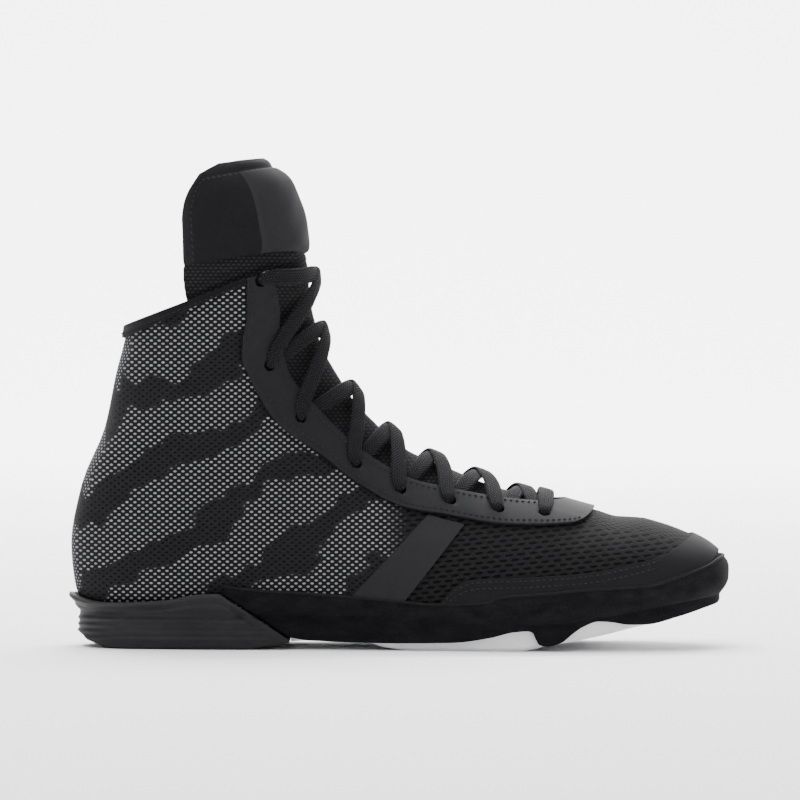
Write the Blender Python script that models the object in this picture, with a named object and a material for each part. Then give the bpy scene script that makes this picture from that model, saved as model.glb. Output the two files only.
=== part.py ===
"""A right high-top wrestling shoe, standing empty on its sole.

The toe points along +X, the outer side faces -Y and +Z is up. Lengths are metres. The origin is
at the middle of the shoe's bounding box, on the floor.
"""

from math import cos, pi, radians, sin

import bmesh
import bpy
import numpy as np
from mathutils import Vector
from mathutils.bvhtree import BVHTree

# Driving sizes
FOOT_LENGTH = 0.288
TOTAL_HEIGHT = 0.216
BALL_WIDTH = 0.098
UPPER_WALL = 0.0022
GAP = 0.0003
SEAT_GAP = 0.0012
CUP_GAP = 0.0022
OVERLAY_GAP = 0.0009
EYESTAY_THICKNESS = 0.0012
PANEL_THICKNESS = 0.0007
FOXING_THICKNESS = 0.0014
BINDING_THICKNESS = 0.0010
TONGUE_THICKNESS = 0.0036
INSOLE_THICKNESS = 0.0030
EYELET_RADIUS = 0.0025
EYELET_SIDES = 8
LACE_WIDTH = 0.007
LACE_THICKNESS = 0.0015
LACE_CLEARANCE = 0.0006
CUP_THICKNESS = 0.0022
CUP_RIB = 0.0009
GROOVE_DEPTH = 0.0016
GROOVE_WIDTH = 0.0022
LUG_PITCH = 0.0095

# One row for each section of the last, from the toe's lower edge up to the tongue's top: the
# ridge point and the base point in the side view, then the half widths and the section's form.
# Lengthwise places are shares of FOOT_LENGTH from the middle, heights are shares of TOTAL_HEIGHT
# and half widths are shares of BALL_WIDTH. "widest" is the share of the way from ridge to base.
SECTION_COLUMNS = ("ridge_x", "ridge_z", "base_x", "base_z", "outer", "inner", "widest", "top", "low")
SECTIONS = (
    (0.484, 0.106, 0.462, 0.094, 0.153, 0.173, 0.50, 2.0, 2.0),
    (0.498, 0.137, 0.444, 0.087, 0.245, 0.265, 0.50, 2.0, 2.2),
    (0.499, 0.162, 0.424, 0.080, 0.306, 0.326, 0.55, 2.0, 2.6),
    (0.491, 0.187, 0.399, 0.073, 0.357, 0.377, 0.62, 2.0, 3.0),
    (0.474, 0.208, 0.372, 0.066, 0.398, 0.408, 0.66, 2.1, 3.4),
    (0.441, 0.231, 0.344, 0.059, 0.434, 0.439, 0.69, 2.1, 3.7),
    (0.389, 0.255, 0.313, 0.052, 0.464, 0.464, 0.71, 2.1, 4.0),
    (0.335, 0.266, 0.278, 0.044, 0.490, 0.474, 0.73, 2.1, 4.0),
    (0.274, 0.287, 0.236, 0.036, 0.505, 0.474, 0.74, 2.0, 4.0),
    (0.215, 0.310, 0.188, 0.031, 0.505, 0.459, 0.75, 1.9, 4.0),
    (0.156, 0.333, 0.132, 0.031, 0.480, 0.429, 0.76, 1.8, 4.0),
    (0.090, 0.366, 0.056, 0.038, 0.439, 0.378, 0.76, 1.7, 4.0),
    (0.021, 0.407, -0.035, 0.048, 0.403, 0.347, 0.77, 1.6, 4.0),
    (-0.035, 0.468, -0.132, 0.053, 0.372, 0.337, 0.77, 1.6, 3.8),
    (-0.069, 0.523, -0.236, 0.051, 0.367, 0.347, 0.76, 1.7, 3.6),
    (-0.097, 0.583, -0.333, 0.049, 0.372, 0.357, 0.72, 1.8, 3.2),
    (-0.115, 0.639, -0.424, 0.052, 0.367, 0.357, 0.64, 1.9, 2.9),
    (-0.122, 0.685, -0.476, 0.079, 0.362, 0.357, 0.57, 2.0, 2.6),
    (-0.125, 0.713, -0.494, 0.134, 0.360, 0.357, 0.52, 2.0, 2.4),
    (-0.127, 0.736, -0.499, 0.213, 0.360, 0.360, 0.51, 2.0, 2.3),
    (-0.128, 0.755, -0.483, 0.329, 0.360, 0.360, 0.50, 2.1, 2.2),
    (-0.130, 0.771, -0.448, 0.444, 0.362, 0.362, 0.50, 2.1, 2.2),
    (-0.131, 0.785, -0.431, 0.551, 0.365, 0.365, 0.50, 2.1, 2.2),
    (-0.132, 0.796, -0.414, 0.646, 0.367, 0.367, 0.50, 2.1, 2.2),
    (-0.135, 0.843, -0.410, 0.713, 0.367, 0.367, 0.50, 2.1, 2.1),
    (-0.144, 0.894, -0.406, 0.787, 0.357, 0.357, 0.50, 2.0, 2.0),
    (-0.161, 0.949, -0.403, 0.870, 0.337, 0.337, 0.50, 2.0, 2.0),
    (-0.201, 1.000, -0.392, 0.958, 0.296, 0.296, 0.50, 2.0, 2.0),
)
TONGUE_TOP = 26.97
VAMP_POINT = 8.3
HEEL_SEAT_START = 15.0
HEEL_SEAT_END = 16.7
LASTING_ANGLE = radians(152)

# Angles round the section from the ridge, in degrees, at the rows of SECTIONS named first
THROAT_EDGE = ((8.3, 0), (8.42, 10), (8.7, 18), (9, 23), (10, 28), (11, 32), (12, 34), (13, 34), (14, 34),
               (15, 36), (16, 40), (17, 43), (18, 44), (19, 45), (20, 47), (21, 50), (22, 53), (23, 57))
EYESTAY_EDGE = ((7.6, 0), (7.68, 20), (7.85, 31), (8.2, 38), (9, 44), (10, 48), (11, 50), (12, 52), (13, 50),
                (14, 48), (15, 51), (16, 54), (17, 58), (18, 62), (19, 65), (20, 67), (21, 68), (22, 70),
                (23, 72))
TONGUE_EDGE = ((7.9, 20), (8.2, 32), (9, 40), (10, 44), (12, 50), (14, 54), (16, 60), (18, 70), (20, 85),
               (22, 100), (23, 109), (24, 113), (25, 114), (25.6, 114), (26, 112), (26.3, 108), (26.5, 103),
               (26.75, 94), (26.97, 74))
# Lace holes: row and angle of each, from the lowest to the top one
EYELETS = ((8.85, 34), (10.0, 38), (11.05, 41), (12.05, 43), (13.1, 42), (15.0, 44), (17.3, 51), (22.6, 63))
# Lace crossings on the ridge: the rows where the tape leaves the facing and reaches the next
CROSSINGS = ((9.75, 10.55), (10.95, 11.65), (12.1, 12.75), (13.3, 14.1), (15.5, 16.9), (20.3, 22.2))

# Side-view edges: lengthwise share of FOOT_LENGTH, height share of TOTAL_HEIGHT
FOXING_TOP = ((-0.27, 0.128), (-0.2, 0.118), (-0.15, 0.114), (-0.07, 0.106), (0.0, 0.098), (0.06, 0.092),
              (0.13, 0.096), (0.155, 0.108), (0.23, 0.116), (0.275, 0.122), (0.37, 0.13), (0.42, 0.151),
              (0.46, 0.170), (0.50, 0.192))
FOXING_LOW = ((-0.163, 0.024), (-0.13, 0.018), (-0.03, 0.0145), (0.08, 0.0165), (0.136, 0.0265),
              (0.174, 0.039), (0.195, 0.041), (0.204, 0.036), (0.209, 0.016), (0.222, 0.010), (0.245, 0.018),
              (0.262, 0.036), (0.278, 0.050), (0.3, 0.060), (0.32, 0.0585), (0.345, 0.053), (0.37, 0.0525),
              (0.42, 0.0665), (0.46, 0.0815), (0.50, 0.098))
OVERLAY_TOP = ((0.06, 0.092), (0.09, 0.132), (0.12, 0.144), (0.18, 0.147), (0.275, 0.155), (0.355, 0.173),
               (0.395, 0.187), (0.42, 0.203), (0.456, 0.232))
FEATHER = ((-0.5, 0.075), (-0.25, 0.070), (0.0, 0.068), (0.12, 0.055), (0.2, 0.053), (0.3, 0.066),
           (0.4, 0.090), (0.5, 0.110))
SOLE_BOTTOM = ((-0.163, 0.016), (-0.10, 0.020), (-0.05, 0.016), (-0.015, 0.004), (0.01, 0.0), (0.19, 0.0),
               (0.215, 0.008), (0.26, 0.019), (0.31, 0.032), (0.36, 0.048), (0.41, 0.061), (0.46, 0.079),
               (0.49, 0.092))
CUP_BOTTOM = ((-0.50, 0.06), (-0.478, 0.036), (-0.46, 0.016), (-0.43, 0.002), (-0.41, 0.0), (-0.24, 0.0),
              (-0.2, 0.006), (-0.163, 0.014))
CUP_RIM = ((-0.5, 0.142), (-0.485, 0.124), (-0.46, 0.1), (-0.43, 0.094), (-0.35, 0.100), (-0.30, 0.112),
           (-0.272, 0.113), (-0.255, 0.1), (-0.21, 0.06), (-0.163, 0.018))
UPPER_BASE = tuple((row[2], row[3]) for row in SECTIONS[:17])
PANEL_TOP = ((0.0, 0.274), (0.045, 0.262), (0.10, 0.243))
PANEL_TOP_BACK, PANEL_TOP_FRONT = 0.045, 0.10
PANEL_LOW_BACK, PANEL_LOW_FRONT = -0.075, 0.006
SOLE_SPLIT = -0.163
SIDE_LEVEL = 0.125
HEEL_CENTRE, TOE_CENTRE = -0.37, 0.33


def smooth_table(points, at):
    """Monotone cubic reading of a short table at the place given."""
    x = [p[0] for p in points]
    y = [p[1] for p in points]
    if at <= x[0]:
        return y[0]
    if at >= x[-1]:
        return y[-1]
    i = max(k for k in range(len(x) - 1) if x[k] <= at)

    def slope(k):
        if k == 0 or k == len(x) - 1:
            a, b = (0, 1) if k == 0 else (-2, -1)
            return (y[b] - y[a]) / (x[b] - x[a])
        before = (y[k] - y[k - 1]) / (x[k] - x[k - 1])
        after = (y[k + 1] - y[k]) / (x[k + 1] - x[k])
        return 0.0 if before * after <= 0 else 2 * before * after / (before + after)

    width = x[i + 1] - x[i]
    t = (at - x[i]) / width
    return (
        (2 * t**3 - 3 * t**2 + 1) * y[i]
        + (t**3 - 2 * t**2 + t) * width * slope(i)
        + (3 * t**2 - 2 * t**3) * y[i + 1]
        + (t**3 - t**2) * width * slope(i + 1)
    )


COLUMN = {
    name: tuple((row, values[k]) for row, values in enumerate(SECTIONS))
    for k, name in enumerate(SECTION_COLUMNS)
}


def height_at(table, x):
    """Height in metres of a side-view edge at lengthwise place x in metres."""
    return smooth_table(table, x / FOOT_LENGTH) * TOTAL_HEIGHT


def last_point(row, angle):
    """Point of the last at a section row and an angle from the ridge: outer side below zero."""
    s = {name: smooth_table(COLUMN[name], row) for name in SECTION_COLUMNS}
    around = min(abs(angle), pi)
    half = (s["outer"] if angle < 0 else s["inner"]) * BALL_WIDTH
    ridge = np.array((s["ridge_x"] * FOOT_LENGTH, s["ridge_z"] * TOTAL_HEIGHT))
    base = np.array((s["base_x"] * FOOT_LENGTH, s["base_z"] * TOTAL_HEIGHT))
    power = s["top"] if around < pi / 2 else s["low"]
    rise, out = abs(cos(around)), max(sin(around), 0.0)
    spread = (rise**power + out**power) ** (-1 / power)
    rise, out = rise * spread, out * spread
    share = s["widest"] * (1 - rise) if around < pi / 2 else s["widest"] + (1 - s["widest"]) * rise
    x, z = ridge + (base - ridge) * share
    return np.array((x, half * out * (-1 if angle < 0 else 1), z))


def last_normal(row, angle):
    """Outward normal of the last by differences."""
    step = 0.02
    low = max(row - step, 0.0)
    high = min(row + step, len(SECTIONS) - 1.0)
    along = last_point(high, angle) - last_point(low, angle)
    turn = last_point(row, angle + step) - last_point(row, angle - step)
    normal = np.cross(turn, along)
    return normal / np.linalg.norm(normal)


def lifted(row, angle, lift):
    return last_point(row, angle) + last_normal(row, angle) * lift


def angle_at_height(row, side, table, rise=0.0):
    """Angle where a section meets a side-view edge: zero where the edge passes over the ridge."""
    low, high = 0.0, pi
    top = last_point(row, 0.0)
    if top[2] < height_at(table, top[0]) + rise:
        return 0.0
    for _ in range(30):
        middle = (low + high) / 2
        point = last_point(row, side * middle)
        if point[2] > height_at(table, point[0]) + rise:
            low = middle
        else:
            high = middle
    return low


def span(start, end, count):
    return [start + (end - start) * k / (count - 1) for k in range(count)]


def material(name, colour, roughness):
    """A plain material with the colour and roughness given."""
    made = bpy.data.materials.new(name)
    made.use_nodes = True
    shader = made.node_tree.nodes["Principled BSDF"]
    shader.inputs["Base Color"].default_value = (*colour, 1.0)
    shader.inputs["Roughness"].default_value = roughness
    shader.inputs["Metallic"].default_value = 0.0
    return made


def add_object(name, mesh_data, look):
    """Link a mesh as a named object, shaded smooth."""
    mesh = bpy.data.meshes.new(name)
    mesh_data.to_mesh(mesh)
    mesh_data.free()
    mesh.materials.append(look)
    mesh.shade_smooth()
    made = bpy.data.objects.new(name, mesh)
    bpy.context.scene.collection.objects.link(made)
    return made


def add_sheet(name, rows, start, end, columns, lift, thickness, look):
    """A shell on the last, both sides joined over the ridge or round the back where they meet.

    "start" and "end" give the angles of its edges on a side, and the wall grows by "thickness"
    from the lifted surface, outward where it is above zero.
    """
    work = bmesh.new()
    for side in (-1, 1):
        grid = []
        for row in rows:
            angles = span(start(row, side), end(row, side), columns)
            grid.append([work.verts.new(lifted(row, side * max(a, 1e-9), lift)) for a in angles])
        for near, far in zip(grid, grid[1:]):
            for k in range(columns - 1):
                corners = [near[k], near[k + 1], far[k + 1], far[k]]
                work.faces.new(corners if side > 0 else corners[::-1])
    bmesh.ops.remove_doubles(work, verts=work.verts, dist=2e-5)
    bmesh.ops.dissolve_degenerate(work, edges=work.edges, dist=1e-6)
    made = add_object(name, work, look)
    wall = made.modifiers.new("wall", "SOLIDIFY")
    wall.thickness = abs(thickness)
    wall.offset = 1.0 if thickness > 0 else -1.0
    return made


def close_faces(work):
    """Join equal points and turn every face outward."""
    bmesh.ops.remove_doubles(work, verts=work.verts, dist=2e-5)
    bmesh.ops.dissolve_degenerate(work, edges=work.edges, dist=1e-6)
    bmesh.ops.recalc_face_normals(work, faces=work.faces)


def last_tree():
    """The last as a closed search tree with the upper's own facets, for outlines at a level."""
    rows = UPPER_ROWS + [24, 25, 26, 27]
    points = []
    for row in rows:
        throat = radians(smooth_table(THROAT_EDGE, row))
        half = [0.0] + span(throat, upper_low_edge(row, 1), UPPER_COLUMNS) + [pi]
        points += [Vector(last_point(row, angle)) for angle in [-a for a in half[:0:-1]] + half]
    across = 2 * UPPER_COLUMNS + 3
    faces = []
    for i in range(len(rows) - 1):
        for k in range(across - 1):
            corner = i * across + k
            faces.append((corner, corner + 1, corner + across + 1, corner + across))
    faces.append(tuple(range(across)))
    return BVHTree.FromPolygons(points, faces)


def stations(runs, turn, heel=False):
    """Level rays round the plan, outer side to inner side: x of the start, then the direction."""
    centre = (HEEL_CENTRE if heel else TOE_CENTRE) * FOOT_LENGTH
    facing = -1 if heel else 1
    outer = [(x, 0.0, -1.0) for x in runs]
    inner = [(x, 0.0, 1.0) for x in runs[::-1]]
    fan = [(centre, facing * cos(a), sin(a)) for a in span(-pi / 2, pi / 2, turn)]
    return outer + fan + inner


def reach(tree, station, height, lift):
    """Plan point of the last at a level, moved out along the station's direction."""
    x, along, across = station
    direction = Vector((along, across, 0.0)).normalized()
    hit = tree.ray_cast(Vector((x, GAP / 3, height)), direction)[0]
    if hit is None:
        raise ValueError(f"no wall at {station} {height}")
    return hit + direction * lift


def feather_point(tree, station, lift):
    """The point on the last where its side turns under."""
    guess = reach(tree, station, SIDE_LEVEL * TOTAL_HEIGHT, 0.0)
    return reach(tree, station, height_at(FEATHER, guess.x), lift)


def sweep(name, profiles, look, bridged):
    """A solid from equal profiles along the stations, closed across the plan or at its ends."""
    work = bmesh.new()
    rings = [[work.verts.new(p) for p in profile] for profile in profiles]
    count = len(rings[0])
    if bridged:
        for near, far in zip(rings, rings[1:]):
            for k in range(count - 1):
                work.faces.new((near[k], near[k + 1], far[k + 1], far[k]))
        half = len(rings) // 2
        for level in (0, -1):
            for k in range(half - 1):
                a, b = rings[k], rings[k + 1]
                c, d = rings[-2 - k], rings[-1 - k]
                work.faces.new((a[level], b[level], c[level], d[level]))
            work.faces.new((rings[half - 1][level], rings[half][level], rings[half + 1][level]))
        work.faces.new(rings[0] + rings[-1][::-1])
    else:
        for near, far in zip(rings, rings[1:]):
            for k in range(count):
                work.faces.new((near[k], near[(k + 1) % count], far[(k + 1) % count], far[k]))
        work.faces.new(rings[0])
        work.faces.new(rings[-1][::-1])
    close_faces(work)
    bmesh.ops.triangulate(work, faces=work.faces)
    return add_object(name, work, look)


def degrees_table(table):
    """Reader of an edge given in degrees, the same on both sides."""
    return lambda row, side: radians(smooth_table(table, row))


def upper_low_edge(row, side):
    """Edge of the opening underneath: it rounds off and closes behind the heel seat."""
    if row <= HEEL_SEAT_START:
        return LASTING_ANGLE
    share = min((row - HEEL_SEAT_START) / (HEEL_SEAT_END - HEEL_SEAT_START), 1.0)
    return pi - (pi - LASTING_ANGLE) * max(1 - share**2, 0.0) ** 0.5


THROAT_ROWS = [8.3, 8.36, 8.42, 8.6, 9, 9.5] + span(10, 22, 13) + [22.78, 23]
UPPER_COLUMNS = 12
UPPER_ROWS = sorted([0, 0.35, 0.7, 1.1, 1.6, 2.2, 3, 4, 5, 5.25, 5.5, 6, 7, 7.6, 8.1] + THROAT_ROWS
                    + [15.6, 16.1, 16.45, 16.7])
EYESTAY_ROWS = [7.6, 7.68, 7.85, 8.1] + [row for row in UPPER_ROWS if row >= VAMP_POINT]
OVERLAY_ROWS = [3.3, 3.45, 3.7, 4.1, 4.4, 4.6, 4.7, 4.78, 4.86, 4.94, 5.02, 5.1, 5.2, 5.3, 5.45, 5.7, 6, 6.5,
                7, 8.1, 9, 10, 10.4, 10.7, 10.95]
TONGUE_ROWS = [7.8, 8.3] + THROAT_ROWS[3:-2] + [23]
TONGUE_ROWS += [23.5, 24, 24.5, 25, 25.6, 26.1, 26.5, 26.75, TONGUE_TOP]
BINDING_ROWS = (22.78, 23.0)


def punch_holes(targets):
    """Cut the round lace holes through the facing and the wall behind it."""
    work = bmesh.new()
    for row, turn in EYELETS:
        for side in (-1, 1):
            place = last_point(row, side * radians(turn))
            axis = Vector(last_normal(row, side * radians(turn)))
            made = bmesh.ops.create_cone(work, cap_ends=True, segments=EYELET_SIDES, radius1=EYELET_RADIUS,
                                         radius2=EYELET_RADIUS, depth=8 * UPPER_WALL)
            turned = axis.to_track_quat("Z", "X").to_matrix().to_4x4()
            turned.translation = Vector(place)
            bmesh.ops.transform(work, matrix=turned, verts=made["verts"])
    mesh = bpy.data.meshes.new("lace_hole_cutter")
    work.to_mesh(mesh)
    work.free()
    cutter = bpy.data.objects.new("lace_hole_cutter", mesh)
    bpy.context.scene.collection.objects.link(cutter)
    cutter.hide_render = True
    cutter.display_type = "WIRE"
    for target in targets:
        cut = target.modifiers.new("lace_holes", "BOOLEAN")
        cut.operation = "DIFFERENCE"
        cut.object = cutter
    return cutter


def tape(work, path, low, high):
    """A flat tape along (row, angle) places on the last, between two lifts."""
    middles = [last_point(row, angle) for row, angle in path]
    rings = []
    for k, (row, angle) in enumerate(path):
        ahead = middles[min(k + 1, len(path) - 1)] - middles[max(k - 1, 0)]
        normal = last_normal(row, angle)
        across = np.cross(normal, ahead)
        across *= LACE_WIDTH / 2 / np.linalg.norm(across)
        corners = ((-1, low), (1, low), (1, high), (-1, high))
        rings.append([work.verts.new(middles[k] + across * a + normal * b) for a, b in corners])
    for near, far in zip(rings, rings[1:]):
        for k in range(4):
            work.faces.new((near[k], near[(k + 1) % 4], far[(k + 1) % 4], far[k]))
    work.faces.new(rings[0])
    work.faces.new(rings[-1][::-1])
    close_faces(work)


def lace_crossing(name, low_row, high_row, look):
    """Two tapes joined where one passes over the other on the ridge."""
    edges = [radians(smooth_table(THROAT_EDGE, row) - 3) for row in (low_row, high_row)]
    pair = []
    for side in (-1, 1):
        path = [
            (low_row + (high_row - low_row) * t, -side * edges[0] + side * (edges[0] + edges[1]) * t)
            for t in span(0, 1, 7)
        ]
        low = LACE_CLEARANCE + (side + 1) / 2 * LACE_THICKNESS * 0.7
        work = bmesh.new()
        tape(work, path, low, low + LACE_THICKNESS)
        pair.append(add_object(name if side < 0 else name + "_guide", work, look))
    pair[1].hide_render = True
    pair[1].display_type = "WIRE"
    joined = pair[0].modifiers.new("crossing", "BOOLEAN")
    joined.operation = "UNION"
    joined.object = pair[1]
    return pair


def lace_bar(look):
    """The bottom bar of the lace, over both facings."""
    row, turn = EYELETS[0]
    reach_angle = radians(turn) - 2 * EYELET_RADIUS / (BALL_WIDTH / 2)
    low = 4 * GAP + EYESTAY_THICKNESS
    work = bmesh.new()
    tape(work, [(row, angle) for angle in span(-reach_angle, reach_angle, 9)], low, low + LACE_THICKNESS)
    return add_object("lace_bar", work, look)


def side_panel(name, side, tree, look):
    """The slanting panel between the facing and the foxing."""
    work = bmesh.new()
    rows, columns = 8, 4
    skins = []
    for lift in (1.5 * GAP, 1.5 * GAP + PANEL_THICKNESS):
        grid = []
        for v in span(0, 1, rows):
            line = []
            for u in span(0, 1, columns):
                top_x = PANEL_TOP_BACK + (PANEL_TOP_FRONT - PANEL_TOP_BACK) * u
                low_x = PANEL_LOW_BACK + (PANEL_LOW_FRONT - PANEL_LOW_BACK) * u
                x = (top_x + (low_x - top_x) * v) * FOOT_LENGTH
                top_z = height_at(PANEL_TOP, top_x * FOOT_LENGTH)
                low_z = height_at(FOXING_TOP, low_x * FOOT_LENGTH) + 3 * GAP
                place = reach(tree, (x, 0.0, side), top_z + (low_z - top_z) * v, lift)
                line.append(work.verts.new(place))
            grid.append(line)
        skins.append(grid)
    for grid in skins:
        for near, far in zip(grid, grid[1:]):
            for k in range(columns - 1):
                work.faces.new((near[k], near[k + 1], far[k + 1], far[k]))
    rims = [
        [grid[0] + [line[-1] for line in grid[1:]] + grid[-1][-2::-1] + [line[0] for line in grid[-2:0:-1]]]
        for grid in skins
    ]
    back, front = rims[0][0], rims[1][0]
    for k in range(len(back)):
        after = (k + 1) % len(back)
        work.faces.new((back[k], back[after], front[after], front[k]))
    close_faces(work)
    bmesh.ops.triangulate(work, faces=work.faces)
    return add_object(name, work, look)


def foxing(tree, look):
    """The band round the foot: it follows the last down to the feather and then drops straight."""
    start = -0.262 * FOOT_LENGTH
    runs = span(start, TOE_CENTRE * FOOT_LENGTH, 20)[:-1] + [0.204 * FOOT_LENGTH, 0.209 * FOOT_LENGTH]
    profiles = []
    for station in stations(sorted(runs), 15):
        foot = feather_point(tree, station, 0.0)
        turn = height_at(FEATHER, foot.x)
        top = height_at(FOXING_TOP, foot.x)
        low = height_at(FOXING_LOW, foot.x)
        if foot.x < SOLE_SPLIT * FOOT_LENGTH:
            low = max(low, height_at(CUP_RIM, foot.x) + 4 * GAP)
        bend = max(turn, low + GAP)
        skin = span(top, bend, 5)
        inside = [reach(tree, station, z, 0.0) for z in skin]
        direction = Vector((station[1], station[2], 0.0)).normalized()
        inside.append(Vector((inside[-1].x, inside[-1].y, low)))
        near = [p + direction * SEAT_GAP for p in inside]
        far = [p + direction * (SEAT_GAP + FOXING_THICKNESS) for p in inside[::-1]]
        profiles.append(near + far)
    return sweep("foxing", profiles, look, False)


def sole_rows():
    """Lengthwise places of the outsole's stations: two at each side of each groove."""
    places = [SOLE_SPLIT * FOOT_LENGTH + GAP, -0.13 * FOOT_LENGTH, -0.09 * FOOT_LENGTH, -0.05 * FOOT_LENGTH]
    places += [-0.02 * FOOT_LENGTH]
    edge = GROOVE_WIDTH / 2
    groove = LUG_PITCH / 2
    while groove < TOE_CENTRE * FOOT_LENGTH - LUG_PITCH / 2:
        places += [groove - edge - GAP, groove - edge, groove + edge, groove + edge + GAP]
        groove += LUG_PITCH
    return places


def groove_at(x):
    """Depth of the cross grooves between the lugs."""
    if x < 0 or x > TOE_CENTRE * FOOT_LENGTH - LUG_PITCH / 2:
        return 0.0
    return GROOVE_DEPTH if abs((x % LUG_PITCH) - LUG_PITCH / 2) < GROOVE_WIDTH / 2 + GAP / 2 else 0.0


def base_height(x):
    table = sorted(UPPER_BASE)
    return height_at(table, x)


def outsole(tree, look):
    """Forefoot and arch sole with toe spring, raised arch and lugs."""
    profiles = []
    for station in stations(sole_rows(), 15):
        foot = feather_point(tree, station, -2 * GAP)
        direction = Vector((station[1], station[2], 0.0)).normalized()
        low = height_at(SOLE_BOTTOM, foot.x)
        top = max(base_height(foot.x) - GAP, low + 0.0022)
        low += groove_at(foot.x)
        edge = min(0.0015, (top - low) * 0.4)
        profiles.append([
            Vector((foot.x, foot.y, low)) - direction * edge,
            Vector((foot.x, foot.y, low + edge)),
            Vector((foot.x, foot.y, top)),
        ])
    return sweep("outsole", profiles, look, True)


def heel_cup(tree, look):
    """Rubber cup under and round the heel, with level ribs and a slanting front edge."""
    split = SOLE_SPLIT * FOOT_LENGTH - GAP
    runs = span(split, HEEL_CENTRE * FOOT_LENGTH, 12)[:-1]
    ribs = 7
    profiles = []
    for station in stations(runs, 15, heel=True):
        foot = feather_point(tree, station, 0.0)
        direction = Vector((station[1], station[2], 0.0)).normalized()
        low = height_at(CUP_BOTTOM, foot.x)
        rim = max(height_at(CUP_RIM, foot.x), low + 0.002)
        plate = max(base_height(foot.x) - 4 * GAP, low + GAP)
        turn = min(height_at(FEATHER, foot.x), rim)
        outside = []
        for k, share in enumerate(span(0, 1, ribs)):
            z = low + 0.001 + (rim - low - 0.001) * share
            wall = reach(tree, station, max(z, height_at(FEATHER, foot.x)), 0.0)
            out = CUP_GAP + CUP_THICKNESS * (1 - 0.35 * share) + (CUP_RIB if k % 2 else 0.0)
            outside.append(Vector((wall.x, wall.y, z)) + direction * out)
        first = Vector((outside[0].x, outside[0].y, low)) - direction * 0.001
        inside = []
        for k in range(4):
            z = rim + (turn - rim) * k / 3
            wall = reach(tree, station, max(z, height_at(FEATHER, foot.x)), 0.0)
            inside.append(Vector((wall.x, wall.y, z)) + direction * CUP_GAP)
        step = CUP_GAP if rim > plate + GAP else -2 * GAP
        inside.append(Vector((foot.x, foot.y, turn - GAP / 3)) + direction * step)
        inside.append(Vector((foot.x, foot.y, plate)) + direction * step)
        profiles.append([first] + outside + inside)
    return sweep("heel_cup", profiles, look, True)


def insole(tree, look):
    """The footbed inside the upper, above its turned-in edge."""
    heel = HEEL_CENTRE * FOOT_LENGTH
    behind = [(heel, -cos(radians(a)), -sin(radians(a))) for a in (10, 30, 50, 70)]
    runs = span(heel, TOE_CENTRE * FOOT_LENGTH, 12)[:-1]
    ring = behind + stations(runs, 9) + [(x, a, -b) for x, a, b in behind[::-1]]
    profiles = []
    for station in ring:
        foot = feather_point(tree, station, 0.0)
        direction = Vector((station[1], station[2], 0.0)).normalized()
        low = base_height(foot.x) + UPPER_WALL + 7 * GAP
        wall = reach(tree, station, low, -2.4 * (UPPER_WALL + 2 * GAP))
        low_point = Vector((wall.x, wall.y, low))
        profiles.append([low_point, low_point + Vector((0, 0, INSOLE_THICKNESS)) - direction * GAP])
    return sweep("insole", profiles, look, True)


def centre_on_floor(made):
    """Move every object so that the shoe's bounding box is centred on the origin, on the floor."""
    bpy.context.view_layer.update()
    graph = bpy.context.evaluated_depsgraph_get()
    low = Vector((1e9, 1e9, 1e9))
    high = Vector((-1e9, -1e9, -1e9))
    for item in made:
        if item.hide_render:
            continue
        for corner in item.evaluated_get(graph).bound_box:
            point = item.matrix_world @ Vector(corner)
            low = Vector(map(min, low, point))
            high = Vector(map(max, high, point))
    shift = Vector(((low.x + high.x) / 2, (low.y + high.y) / 2, low.z))
    for item in made:
        item.location = item.location - shift


def main():
    for item in list(bpy.data.objects):
        bpy.data.objects.remove(item, do_unlink=True)
    mesh_black = material("black_mesh", (0.03, 0.03, 0.035), 0.8)
    smooth_grey = material("smooth_grey", (0.06, 0.06, 0.065), 0.5)
    matte_grey = material("matte_grey", (0.10, 0.10, 0.105), 0.8)
    suede = material("black_suede", (0.018, 0.018, 0.02), 0.95)
    rubber = material("grey_rubber", (0.07, 0.07, 0.072), 0.6)
    white = material("white_rubber", (0.75, 0.76, 0.78), 0.55)
    lace = material("black_lace", (0.02, 0.02, 0.022), 0.8)
    throat = degrees_table(THROAT_EDGE)
    facing = degrees_table(EYESTAY_EDGE)
    tree = last_tree()
    made = [
        add_sheet("upper", UPPER_ROWS, throat, upper_low_edge, UPPER_COLUMNS, 0.0, -UPPER_WALL, mesh_black),
        add_sheet("eyestay", EYESTAY_ROWS, throat, facing, 5, 2 * GAP, EYESTAY_THICKNESS, smooth_grey),
    ]
    made.append(punch_holes(made[:2]))
    made.append(add_sheet(
        "toe_overlay", OVERLAY_ROWS,
        lambda row, side: angle_at_height(row, side, OVERLAY_TOP),
        lambda row, side: max(angle_at_height(row, side, FOXING_TOP, 4 * GAP),
                              angle_at_height(row, side, OVERLAY_TOP) + radians(3)),
        7, OVERLAY_GAP, PANEL_THICKNESS, smooth_grey))
    made.append(add_sheet(
        "collar_binding", BINDING_ROWS, lambda row, side: radians(smooth_table(EYESTAY_EDGE, row) + 1.5),
        lambda row, side: pi, 14, 2 * GAP, BINDING_THICKNESS, lace))
    made.append(add_sheet(
        "tongue", TONGUE_ROWS, lambda row, side: 0.0, degrees_table(TONGUE_EDGE), 6,
        -(UPPER_WALL + SEAT_GAP), -TONGUE_THICKNESS, mesh_black))
    made.append(side_panel("side_panel_lateral", -1.0, tree, matte_grey))
    made.append(side_panel("side_panel_medial", 1.0, tree, matte_grey))
    made += [foxing(tree, suede), outsole(tree, white), heel_cup(tree, rubber), insole(tree, mesh_black)]
    made.append(lace_bar(lace))
    for k, (low_row, high_row) in enumerate(CROSSINGS):
        made += lace_crossing(f"lace_cross_{k + 1}", low_row, high_row, lace)
    centre_on_floor(made)


main()
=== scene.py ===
"""Looks of the right high-top wrestling shoe: fine surfaces, laces, materials, light and camera."""

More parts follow.
